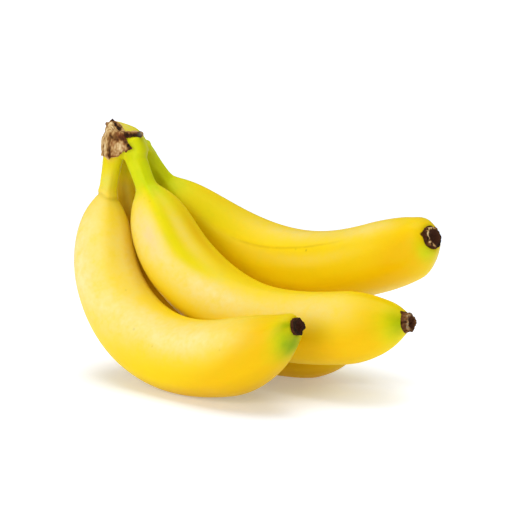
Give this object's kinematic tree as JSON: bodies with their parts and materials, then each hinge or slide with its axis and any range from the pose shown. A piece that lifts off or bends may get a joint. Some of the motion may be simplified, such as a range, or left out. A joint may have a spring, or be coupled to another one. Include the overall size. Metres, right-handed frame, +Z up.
{
  "type": "bunch of bananas",
  "caption": "Small cut hand of ripe bananas, joined at a dried crown, lying on their rounded undersides with the tips curving up and to one side.",
  "frame": {"origin": "middle of the bunch's footprint, on the surface it rests on", "axes": "+X is the longest extent, from the crown towards the tips; +Z is up; +Y points away from the front banana, towards the back one"},
  "size_m": [0.1856, 0.1356, 0.1294],
  "materials": {
    "ripe_skin": "living ripe banana skin, satin",
    "green_skin": "living yellow-green skin of the crown, satin",
    "dried_tissue": "dried, fibrous plant tissue over the cut",
    "dried_tip": "dried, dark flower end"
  },
  "bodies": {
    "root": {"finger_front": "ripe_skin", "finger_middle": "ripe_skin", "finger_back": "ripe_skin", "finger_under": "ripe_skin", "tip_front": "dried_tip", "tip_middle": "dried_tip", "tip_back": "dried_tip", "tip_under": "dried_tip", "crown": "green_skin", "crown_cut": "dried_tissue"}
  },
  "joints": []
}
